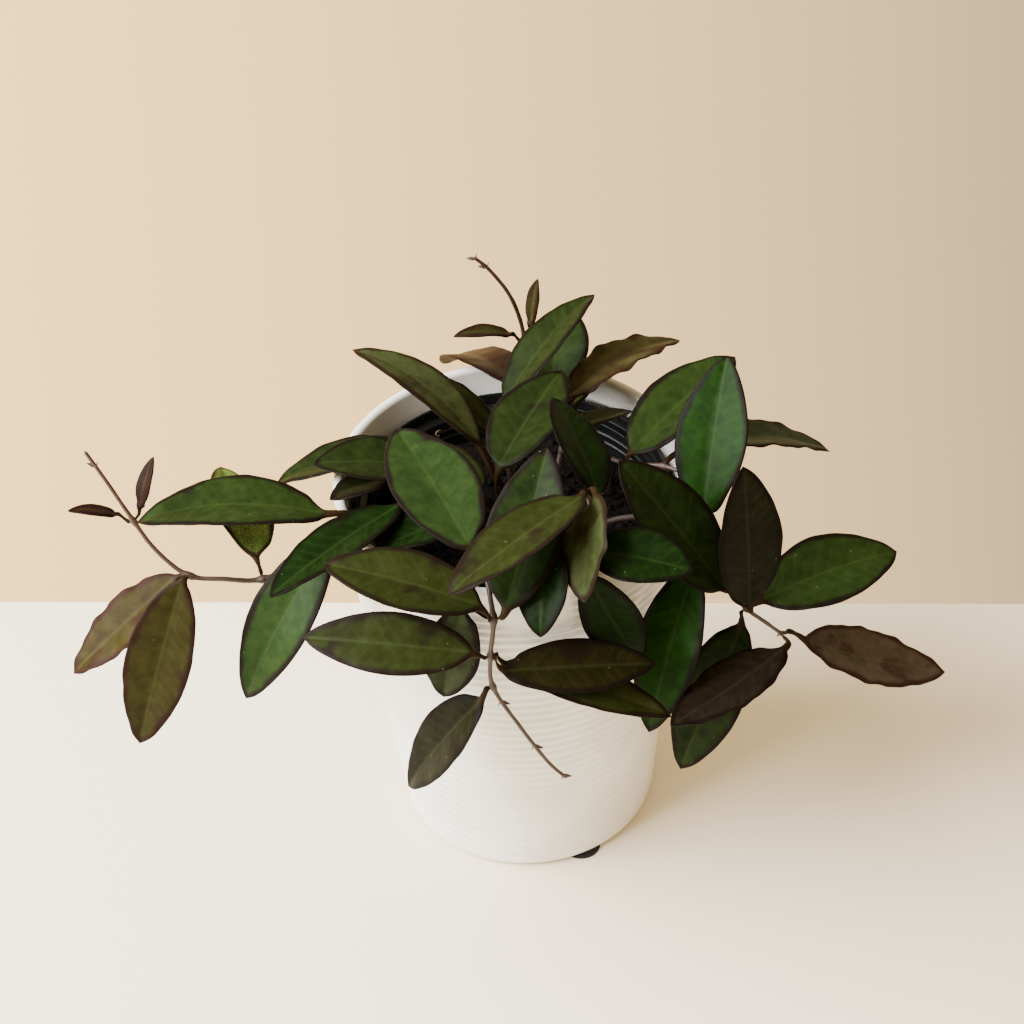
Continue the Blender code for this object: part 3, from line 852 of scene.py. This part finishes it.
class HOYA_OT_nursery_pot(bpy.types.Operator):
    """Adds the thin plastic nursery pot with its lip and drain holes"""

    bl_idname = "hoya.nursery_pot"
    bl_label = "Nursery pot"

    def execute(self, context):
        low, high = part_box("nursery_pot")
        rim_radius = high.x
        top_radius = rim_radius - NURSERY_LIP
        under_lip = high.z - NURSERY_LIP_DROP

        def outer(height):
            return blend(NURSERY_BASE_RADIUS, top_radius, (height - low.z) / (high.z - low.z))

        def inner(height):
            # Thin moulded ridges stand in from the wall above the soil.
            ridges = sum(bell(height - high.z + drop, width) for drop, width in NURSERY_RIDGES)
            return outer(height) - NURSERY_WALL - NURSERY_RIDGE_DEPTH * ridges

        lip_wall = NURSERY_WALL * 0.9
        ledge = high.z - NURSERY_LEDGE
        floor = low.z + NURSERY_WALL
        profile = [(0.0, low.z), (20 * MM, low.z)]
        profile += arc(NURSERY_BASE_RADIUS - 1.5 * MM, low.z + 1.5 * MM, 1.5 * MM, -90.0, 0.0, 5)
        profile += [(outer(height), height) for height in even_steps(low.z, under_lip, 8)[1:]]
        profile += arc(rim_radius - 0.5 * MM, under_lip + 0.5 * MM, 0.5 * MM, -90.0, 0.0, 3)
        profile += arc(rim_radius - lip_wall / 2, high.z - lip_wall / 2, lip_wall / 2, 0.0, 180.0, 8)
        profile += [(rim_radius - lip_wall, ledge + 0.6 * MM)]
        profile += arc(rim_radius - lip_wall - 0.6 * MM, ledge + 0.6 * MM, 0.6 * MM, -10.0, -80.0, 4)
        profile += arc(inner(ledge) + 0.5 * MM, ledge - 0.9 * MM, 0.5 * MM, 100.0, 178.0, 4)
        # Fine steps past the ridges, then coarse ones down to the floor.
        heights = even_steps(ledge - 1.4 * MM, high.z - 17 * MM, 47)
        heights += even_steps(high.z - 20 * MM, floor + 2 * MM, 8)
        profile += [(inner(height), height) for height in heights]
        profile += [(inner(floor) - 1.5 * MM, floor), (20 * MM, floor), (0.0, floor)]
        bm = bmesh.new()
        turned(bm, profile, NURSERY_TURN)
        pot = add_piece("moulded_nursery_pot", bm, moulded_plastic(), "nursery_plastic", "nursery_pot")

        cutter_bm = bmesh.new()
        for hole in range(DRAIN_HOLES):
            angle = math.tau * hole / DRAIN_HOLES
            centre = Vector((math.cos(angle), math.sin(angle), 0.0)) * DRAIN_CIRCLE_RADIUS
            centre.z = low.z
            upright_cylinder(cutter_bm, centre, DRAIN_RADIUS, 8 * MM, 32)
        cutter = add_object("drain_cutter", cutter_bm)
        drains = pot.modifiers.new("drains", "BOOLEAN")
        drains.operation = "DIFFERENCE"
        drains.solver = "EXACT"
        drains.object = cutter
        cut = bpy.data.meshes.new_from_object(pot.evaluated_get(context.evaluated_depsgraph_get()))
        pot.modifiers.clear()
        pot.data = cut
        bpy.data.meshes.remove(cutter.data)
        return {"FINISHED"}


class HOYA_OT_soil(bpy.types.Operator):
    """Adds the crumbly potting mix"""

    bl_idname = "hoya.soil"
    bl_label = "Potting mix"

    def execute(self, context):
        low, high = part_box("soil")
        radius = high.x
        edge = high.z - SOIL_SINK
        foot_radius = blend(NURSERY_BASE_RADIUS, radius, 0.06) - NURSERY_WALL
        profile = [(0.0, low.z), (foot_radius, low.z)]
        profile += list(zip(even_steps(foot_radius, radius, 6), even_steps(low.z, edge - MM, 6)))[1:]
        profile += [(radius * (1 - row / SOIL_ROWS), edge) for row in range(SOIL_ROWS)]
        profile += [(0.0, edge)]
        bm = bmesh.new()
        turned(bm, profile, SOIL_TURN)
        for vert in bm.verts:
            if vert.co.z > edge - 0.5 * MM:
                share = vert.co.xy.length / radius
                lumps = noise.noise(vert.co / (7 * MM)) * 1.1 * MM
                lumps += noise.noise(vert.co / (2.4 * MM)) * 0.7 * MM
                vert.co.z = edge + SOIL_DOME * (1 - share * share) + lumps * (1 - share**8)
        dice = random.Random(11)
        for _ in range(SOIL_GRAINS):
            share = math.sqrt(dice.random())
            angle = dice.uniform(0.0, math.tau)
            reach = share * (radius - 2.5 * MM)
            size = dice.uniform(0.5, 1.0) ** 2 * SOIL_GRAIN_SIZE
            centre = Vector((math.cos(angle) * reach, math.sin(angle) * reach, 0.0))
            centre.z = edge + SOIL_DOME * (1 - share * share) + size * 0.15
            turn = Matrix.Rotation(dice.uniform(0.0, math.tau), 4, "Z")
            tilt = Matrix.Rotation(dice.uniform(-0.6, 0.6), 4, "X")
            sizes = [dice.uniform(least, most) for least, most in ((0.7, 1.5), (0.6, 1.0), (0.4, 0.8))]
            bmesh.ops.create_icosphere(
                bm,
                subdivisions=1 if size < 1.2 * MM else 2,
                radius=size,
                matrix=Matrix.Translation(centre) @ turn @ tilt @ Matrix.Diagonal((*sizes, 1.0)),
            )
        add_piece("crumbly_potting_mix", bm, damp_peat(), "potting_mix", "soil")
        return {"FINISHED"}


class HOYA_OT_tendril(bpy.types.Operator):
    """Adds the small dry curl that clings to the nursery pot's wall"""

    bl_idname = "hoya.tendril"
    bl_label = "Dry tendril"

    def execute(self, context):
        rim_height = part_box("nursery_pot")[1].z
        outward = Vector((math.cos(TENDRIL_BEARING), math.sin(TENDRIL_BEARING), 0.0))
        beside = Vector((-outward.y, outward.x, 0.0))
        middle = outward * TENDRIL_REACH + Vector((0.0, 0.0, rim_height - TENDRIL_DROP))

        def curl(run):
            # A question mark: a straight tail that winds into a hook.
            if run < 0.3:
                return middle + Vector((0.0, 0.0, -2.3 + run * 4.2)) * MM
            angle = math.radians(-90 + (run - 0.3) / 0.7 * 265)
            hook = beside * math.cos(angle) + Vector((0.0, 0.0, math.sin(angle)))
            return middle + Vector((0.0, 0.0, 0.25)) * MM + hook * TENDRIL_HOOK

        def place(turn, run):
            here, after = curl(run), curl(min(run + 0.01, 1.0))
            before = curl(max(run - 0.01, 0.0))
            along = (after - before).normalized()
            side = along.cross(outward).normalized()
            angle = math.tau * turn
            end = math.sqrt(max(0.0, 1 - (2 * run - 1) ** 12))
            radius = 0.3 * MM * end * (1 - 0.4 * run)
            return (here + (side * math.cos(angle) + outward * math.sin(angle)) * radius,)

        bm = bmesh.new()
        rolled(bm, 10, 48, place)
        add_piece("dry_tendril", bm, dry_tendril_skin(), "stem_bark")
        return {"FINISHED"}


# ---- stems and leaves


def add_bract(bm, root, along, outward):
    """A small pointed scale that hugs its stem and turns out at the tip."""
    beside = along.cross(outward).normalized()

    def place(turn, run):
        angle = math.tau * turn
        half = BRACT_HALF_WIDTH * math.sin(math.pi * min(run * 0.93 + 0.07, 1.0)) ** 0.8
        thick = half * 0.4
        middle = root + (along * (0.75 * run) + outward * (0.05 + 0.7 * run * run)) * BRACT_LENGTH
        return middle + beside * (half * math.cos(angle)) + outward * (thick * math.sin(angle)), 0.9

    rolled(bm, BRACT_TURN, BRACT_ROWS, place, ("young",))


class HOYA_OT_stems(bpy.types.Operator):
    """Adds the six trailing stems with their nodes and bracts"""

    bl_idname = "hoya.stems"
    bl_label = "Stems"

    def execute(self, context):
        bark = corky_bark()
        for order, stem in enumerate(LEAF_WEAR):
            centres, radii = stem_line(f"stem_{stem}")
            places = run_lengths(centres)
            full = places[-1]
            joints = []
            for node in leaf_nodes(stem):
                base = leaf_sections(node)[0].centre
                joints.append(
                    min(
                        even_steps(0.0, full, 199),
                        key=lambda length: (smooth_at(places, centres, length) - base).length,
                    )
                )

            def lie(length):
                """Middle of the stem, its way and two ways across it."""
                here = smooth_at(places, centres, length)
                after = smooth_at(places, centres, min(length + 0.2 * MM, full))
                before = smooth_at(places, centres, max(length - 0.2 * MM, 0.0))
                along = (after - before).normalized()
                side = along.cross(Vector((0.31, 0.95, 0.05))).normalized()
                return here, along, side, along.cross(side)

            def place(turn, run):
                length = full * run
                here, _, side, other = lie(length)
                radius = smooth_at(places, radii, length) * STEM_SLIMNESS
                knob = max((bell(length - joint, KNOB_WIDTH) for joint in joints), default=0.0)
                shake = noise.noise(here / (4 * MM) + Vector((order, 0.0, 0.0)))
                radius *= 1 + KNOB_SWELL * knob + 0.09 * shake
                cap = min(1.0, (full - length) / STEM_TIP_ROUNDING)
                radius *= math.sqrt(max(0.0, 1 - (1 - cap) ** 2))
                if run == 0.0:
                    radius = 0.0
                angle = math.tau * turn
                return here + (side * math.cos(angle) + other * math.sin(angle)) * radius, run**1.3

            bm = bmesh.new()
            rolled(bm, STEM_TURN, max(40, round(full / MM)), place, ("young",))
            for share in BRACTS.get(stem, ()):
                here, along, side, other = lie(full * share)
                radius = smooth_at(places, radii, full * share)
                for way in (side, -side):
                    add_bract(bm, here + way * radius * 0.5, along, way)
            add_piece(f"trailing_stem_{stem}", bm, bark, "stem_bark", f"stem_{stem}")
        return {"FINISHED"}


def add_fine_leaf(node, material, slot, order):
    """A leaf in one closed skin: a round petiole that widens into a folded, keeled, grooved blade."""
    sections = leaf_sections(node)
    places = run_lengths([section.centre for section in sections])
    full = places[-1]
    blade_start = places[1 + PETIOLE_RINGS] - 2 * MM
    columns = list(zip(*sections))
    wave = WAVES.get(node, USUAL_WAVE) * MM
    own_place = Vector((3.7, 1.3, 5.1)) * order  # in the noise, so that no two leaves are alike

    def place(turn, run):
        length = full * run
        centre, left, up, half, lift = (smooth_at(places, column, length) for column in columns)
        half = max(0.0, half)
        left.normalize()
        up = (up - left * up.dot(left)).normalized()
        in_blade = level_off(length, blade_start, blade_start + BLADE_RISE)
        top = turn < 0.5
        across = math.cos(math.tau * turn)
        flank = abs(across)
        thin = level_off(full - length, 0.0, BLADE_RISE) ** 0.5
        thick = blend(0.55, 1.0, in_blade) * BLADE_THICK * thin
        thick = min(thick, half * 0.9 + 0.2 * MM)
        rounding = math.sqrt(max(0.0, 1 - flank**MARGIN_BLUNTNESS))
        crease = math.sqrt(FOLD_SOFTNESS)
        fold = math.sqrt(flank * flank + FOLD_SOFTNESS) - crease
        fold *= lift / (math.sqrt(1 + FOLD_SOFTNESS) - crease)
        middle = bell(across * half, MIDRIB_WIDTH)
        blade_height = fold + (0.5 if top else -0.5) * thick * rounding
        blade_height -= (GROOVE if top else KEEL) * middle * thin
        # The two margins wave out of step.
        late = 1 if across > 0 else 0
        ripple = math.sin(math.tau * length / LONG_WAVE + order * 2.4 + late * 1.9)
        ripple += 0.6 * math.sin(math.tau * length / SHORT_WAVE + order * 1.1 + late * 2.7)
        blade_height += wave * ripple * flank**3 * thin
        bumps = noise.noise((centre + left * across * half) / UNEVEN_PATCH + own_place)
        blade_height += UNEVENNESS * bumps * thin
        stalk_radius = min(half, STALK_RADIUS)
        round_height = stalk_radius * math.sqrt(max(0.0, 1 - across * across)) * (1 if top else -1)
        height = blend(round_height, blade_height, in_blade)
        if run in (0.0, 1.0):
            height = half = 0.0
        half *= 1 + 0.3 * bell(length, 2.5 * MM)
        blade_share = max(0.0, length - blade_start) / (full - blade_start)
        fuller = ROUNDER_BASE * math.exp(-blade_share / ROUNDER_REACH)
        half *= 1 + fuller * level_off(length, blade_start, blade_start + 3 * MM)
        half *= 1 + ROUNDER_TIP * math.exp((blade_share - 1) / ROUNDER_REACH)
        point = centre + left * (across * half) + up * height
        inward = min(half * (1 - flank), (full - length) * 0.8)
        return (
            point,
            across * half / MM,
            (length - blade_start) / MM,
            inward / MM,
            1.0 if top or flank > 0.995 else 0.0,
            1 - level_off(length, blade_start - MM, blade_start + 3 * MM),
        )

    bm = bmesh.new()
    rolled(bm, LEAF_TURN, LEAF_ROWS, place, LEAF_FACTS)
    add_piece(f"waxy_{node}", bm, material, slot, node)


class HOYA_OT_leaves(bpy.types.Operator):
    """Adds every leaf with its petiole"""

    bl_idname = "hoya.leaves"
    bl_label = "Leaves"

    def execute(self, context):
        cuticles = {finish: waxy_cuticle(finish) for finish in LEAF_FINISHES}
        order = 0
        for stem, wear in LEAF_WEAR.items():
            for node, finish in zip(leaf_nodes(stem), wear.split()):
                order += 1
                add_fine_leaf(node, cuticles[finish], f"leaf_{stem}", order)
        return {"FINISHED"}


# ---- stage


class HOYA_OT_stage(bpy.types.Operator):
    """Adds the floor, the backdrop, the soft lights and the camera"""

    bl_idname = "hoya.stage"
    bl_label = "Stage"

    def execute(self, context):
        stage = context.scene.hoya_stage
        bm = bmesh.new()
        reach, skew = FLOOR_REACH, FLOOR_EDGE_SLOPE * FLOOR_REACH
        near = [(-reach, -reach), (reach, -reach)]
        far = [(reach, FLOOR_EDGE - skew), (-reach, FLOOR_EDGE + skew)]
        verts = [bm.verts.new((x, y, 0.0)) for x, y in near + far]
        sheet = bmesh.ops.contextual_create(bm, geom=verts)
        sunk = bmesh.ops.extrude_face_region(bm, geom=sheet["faces"])
        deep = [part for part in sunk["geom"] if isinstance(part, bmesh.types.BMVert)]
        bmesh.ops.translate(bm, verts=deep, vec=(0.0, 0.0, -FLOOR_THICKNESS))
        board = add_object("floor_board", bm)
        board.data.materials.append(matt_board())

        world = bpy.data.worlds.new("plain_backdrop")
        context.scene.world = world
        world.use_nodes = True
        tree = world.node_tree
        way = add_node(tree, "TexCoord", {}, "Generated")
        sideways = add_node(tree, "SeparateXYZ", {0: way}, "X")
        upward = add_node(tree, "SeparateXYZ", {0: way}, "Z")
        share = add_node(tree, "MapRange", {0: sideways, 1: -0.3, 2: 0.3})
        drop = add_node(
            tree,
            "Mix",
            {0: share, 6: stage.backdrop_left, 7: stage.backdrop_right},
            2,
            data_type="RGBA",
        )
        drop = add_node(tree, "VectorMath", {0: drop, "Scale": stage.backdrop_glow}, operation="SCALE")
        high = add_node(tree, "MapRange", {0: upward, 1: -0.1, 2: 0.15})
        dome = tuple(channel * stage.dome_glow for channel in stage.dome[:3]) + (1.0,)
        colour = add_node(
            tree, "Mix", {0: high, 6: drop, 7: dome}, 2, data_type="RGBA", clamp_result=False
        )
        tree.links.new(colour, tree.nodes["Background"].inputs["Color"])

        key = bpy.data.lights.new("key_softbox", "AREA")
        key.energy = stage.key_power
        key.size = 1.2
        lamp = bpy.data.objects.new("key_softbox", key)
        lamp.location = (-1.0, -0.22, 0.9)
        towards = Vector((0.0, 0.0, 0.08)) - lamp.location
        lamp.rotation_euler = towards.to_track_quat("-Z", "Y").to_euler()
        context.scene.collection.objects.link(lamp)

        lens = bpy.data.cameras.new("camera")
        lens.sensor_width = 36.0
        lens.lens = 74.99
        camera = bpy.data.objects.new("camera", lens)
        across = Vector((0.998276, -0.038811, -0.044027))
        above = Vector((0.058691, 0.660133, 0.748852))
        back = Vector((0.0, -0.750145, 0.661273))
        camera.matrix_world = Matrix.Translation((-0.00096, -0.633246, 0.711319)) @ Matrix(
            (across, above, back)
        ).transposed().to_4x4()
        context.scene.collection.objects.link(camera)
        context.scene.camera = camera
        return {"FINISHED"}


# ---- add-on


OPERATORS = (
    HOYA_OT_cachepot,
    HOYA_OT_foot_pads,
    HOYA_OT_nursery_pot,
    HOYA_OT_soil,
    HOYA_OT_tendril,
    HOYA_OT_stems,
    HOYA_OT_leaves,
    HOYA_OT_stage,
)
SETTINGS = {
    "hoya_pots": HoyaPots,
    "hoya_stems": HoyaStems,
    "hoya_leaves": HoyaLeaves,
    "hoya_stage": HoyaStage,
}


class HOYA_PT_panel(bpy.types.Panel):
    """Lists the plant's settings and the buttons that add its pieces"""

    bl_idname = "HOYA_PT_panel"
    bl_label = "Potted hoya"
    bl_space_type = "VIEW_3D"
    bl_region_type = "UI"
    bl_category = "Hoya"

    def draw(self, context):
        for operator in OPERATORS:
            self.layout.operator(operator.bl_idname)
        for group_name, group in SETTINGS.items():
            box = self.layout.box()
            for setting in group.__annotations__:
                box.prop(getattr(context.scene, group_name), setting)


def register():
    for group_name, group in SETTINGS.items():
        bpy.utils.register_class(group)
        setattr(bpy.types.Scene, group_name, PointerProperty(type=group))
    for shown in (*OPERATORS, HOYA_PT_panel):
        bpy.utils.register_class(shown)


def unregister():
    for shown in (HOYA_PT_panel, *reversed(OPERATORS)):
        bpy.utils.unregister_class(shown)
    for group_name, group in SETTINGS.items():
        delattr(bpy.types.Scene, group_name)
        bpy.utils.unregister_class(group)


def main():
    register()
    for operator in OPERATORS:
        getattr(bpy.ops.hoya, operator.bl_idname.split(".")[1])()


if __name__ == "__main__":
    main()
